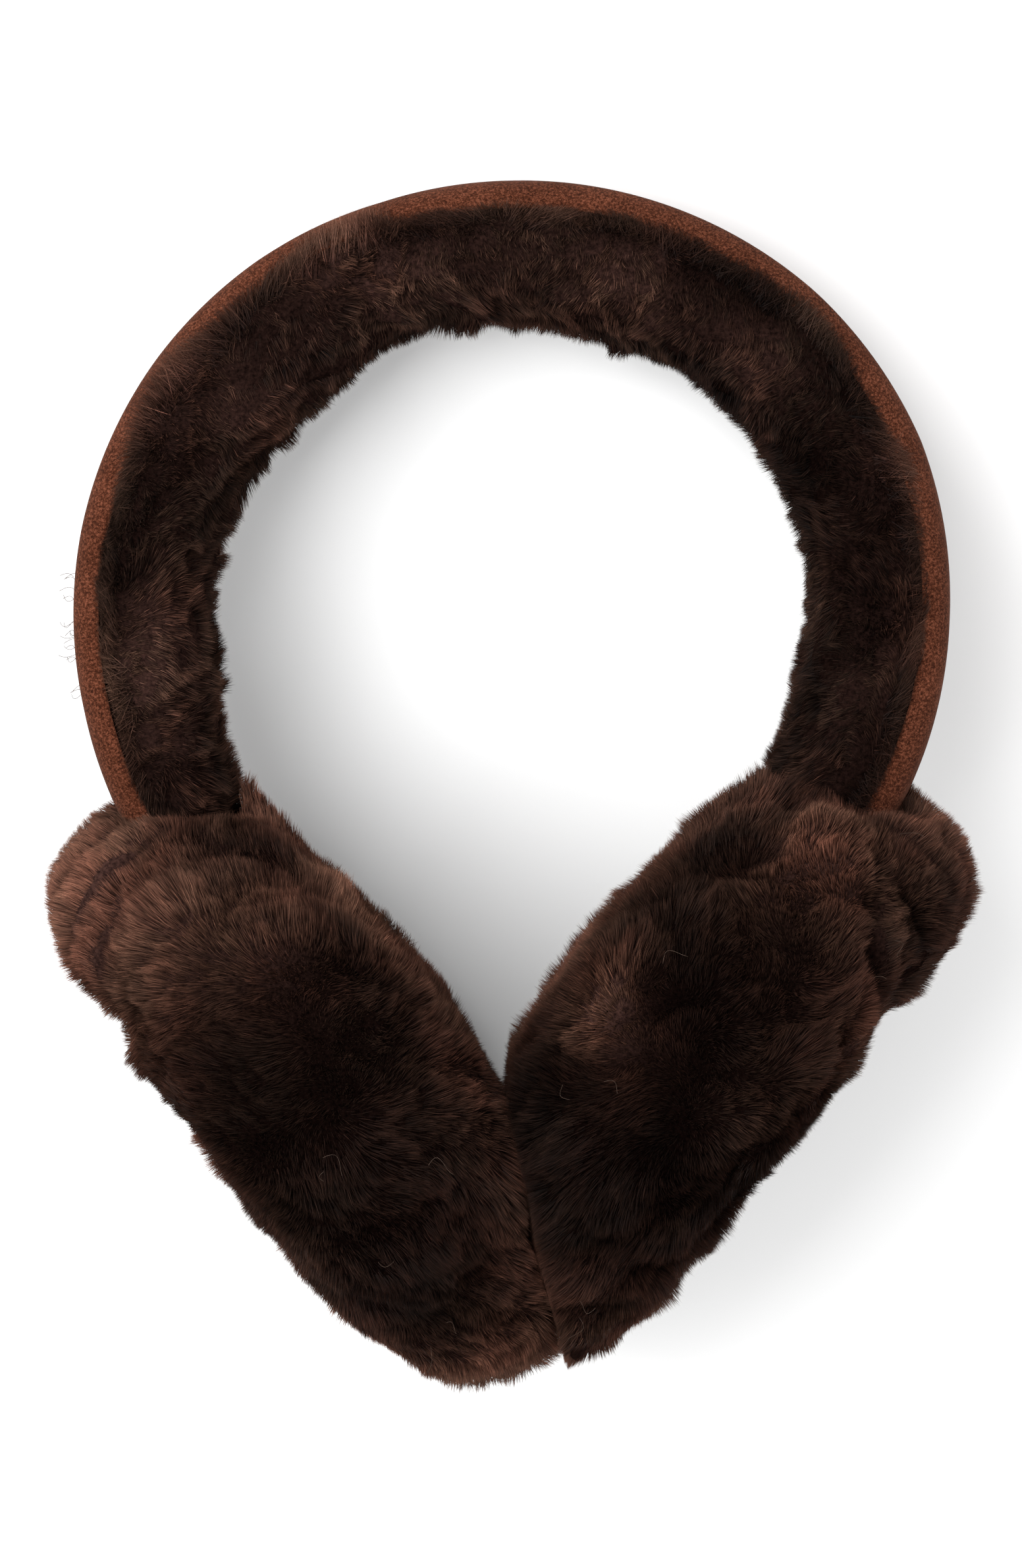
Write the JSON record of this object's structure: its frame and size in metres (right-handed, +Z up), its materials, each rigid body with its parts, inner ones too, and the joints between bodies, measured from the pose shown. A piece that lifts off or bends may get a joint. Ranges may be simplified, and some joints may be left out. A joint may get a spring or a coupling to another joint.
{
  "type": "fur earmuffs",
  "caption": "Dark brown shearling earmuffs: a suede-backed fur headband curled into a hoop, and two round fur ear pads that press on each other.",
  "frame": {"origin": "middle of the footprint on the surface that the earmuffs lie on", "axes": "+Z up from the surface; +Y from the pads to the headband's crown; +X to the right as seen from above with the crown away from the viewer"},
  "size_m": [0.1506, 0.1954, 0.11],
  "materials": {
    "suede": "napped suede",
    "headband_fur": "short dense shearling pile",
    "pad_fur": "long dense shearling pile"
  },
  "bodies": {
    "root": {"headband_suede": "suede", "headband_pile": "headband_fur", "left_pad_cover": "pad_fur", "left_pad_face": "pad_fur", "right_pad_cover": "pad_fur", "right_pad_face": "pad_fur"}
  },
  "joints": []
}
